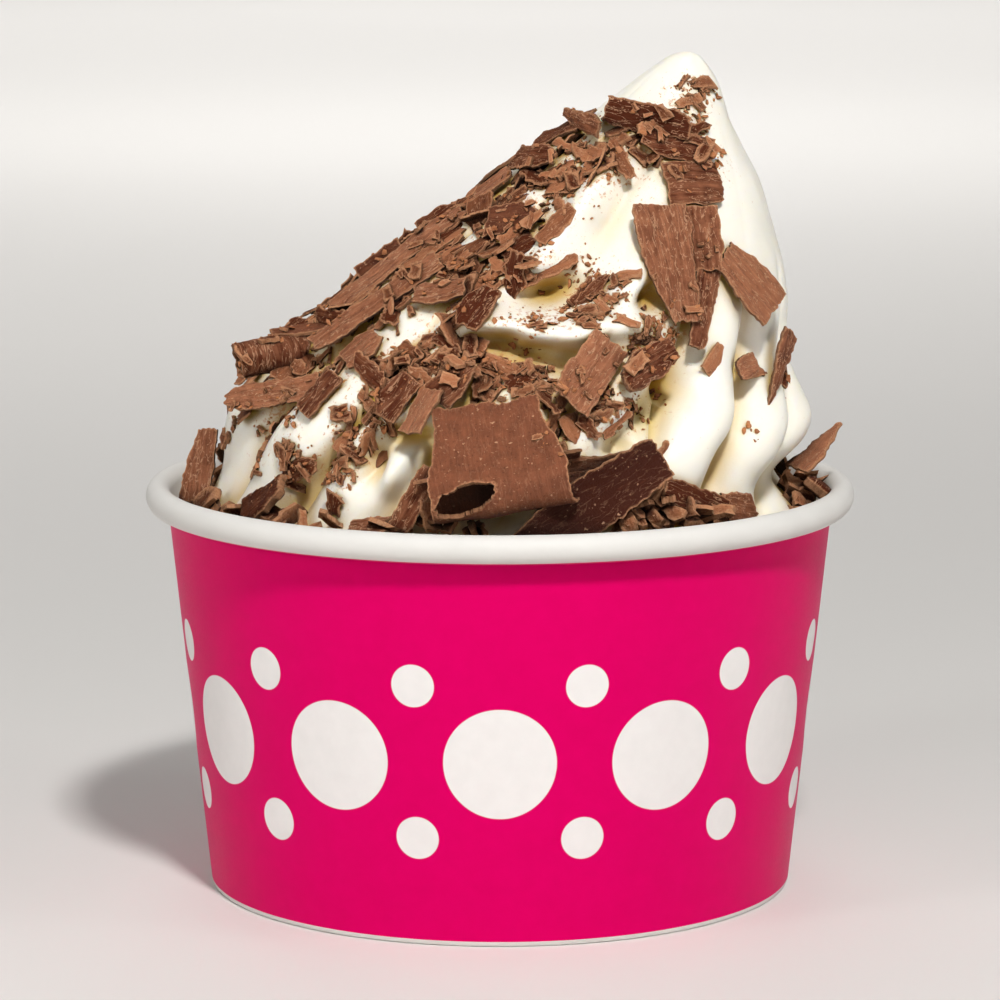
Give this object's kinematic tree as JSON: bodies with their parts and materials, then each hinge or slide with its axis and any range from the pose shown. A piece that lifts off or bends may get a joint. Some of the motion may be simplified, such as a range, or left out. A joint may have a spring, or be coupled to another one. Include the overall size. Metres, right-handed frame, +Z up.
{
  "type": "ice cream cup",
  "caption": "Round paper tub with a rolled rim, heaped with a leaning fluted soft-serve swirl strewn with chocolate shavings.",
  "frame": {"origin": "centre of the cup's foot ring, on the surface it stands on", "axes": "+Z up the cup's axis; the front shown in the picture faces -Y; the swirl's peak leans towards +X"},
  "size_m": [0.095, 0.095, 0.1118],
  "materials": {
    "printed_board": "satin coated magenta print, bare white rim and inside",
    "plain_board": "matte white coated board",
    "soft_serve": "soft, slightly moist vanilla cream",
    "chocolate": "dull milk chocolate"
  },
  "bodies": {
    "root": {"cup_wall": "printed_board", "cup_base": "plain_board", "ice_cream": "soft_serve", "shaving_01": "chocolate", "shaving_02": "chocolate", "shaving_03": "chocolate", "shaving_04": "chocolate", "shaving_05": "chocolate", "shaving_06": "chocolate", "shaving_07": "chocolate", "shaving_08": "chocolate", "shaving_09": "chocolate", "shaving_10": "chocolate", "shaving_11": "chocolate", "shaving_12": "chocolate", "shaving_13": "chocolate", "shaving_14": "chocolate", "shaving_15": "chocolate", "shaving_16": "chocolate", "shaving_17": "chocolate", "shaving_18": "chocolate", "shaving_19": "chocolate", "shaving_20": "chocolate", "shaving_21": "chocolate", "shaving_22": "chocolate", "shaving_23": "chocolate", "shaving_24": "chocolate", "shaving_25": "chocolate", "shaving_26": "chocolate", "shaving_27": "chocolate", "shaving_28": "chocolate", "shaving_29": "chocolate", "shaving_30": "chocolate", "shaving_31": "chocolate", "shaving_32": "chocolate", "shaving_33": "chocolate", "shaving_34": "chocolate", "shaving_35": "chocolate", "shaving_36": "chocolate", "shaving_37": "chocolate", "shaving_38": "chocolate", "shaving_39": "chocolate", "shaving_40": "chocolate", "shaving_41": "chocolate", "shaving_42": "chocolate", "shaving_43": "chocolate", "shaving_44": "chocolate", "shaving_45": "chocolate", "shaving_46": "chocolate", "shaving_47": "chocolate", "shaving_48": "chocolate", "shaving_49": "chocolate", "shaving_50": "chocolate", "shaving_51": "chocolate", "shaving_52": "chocolate"}
  },
  "joints": []
}
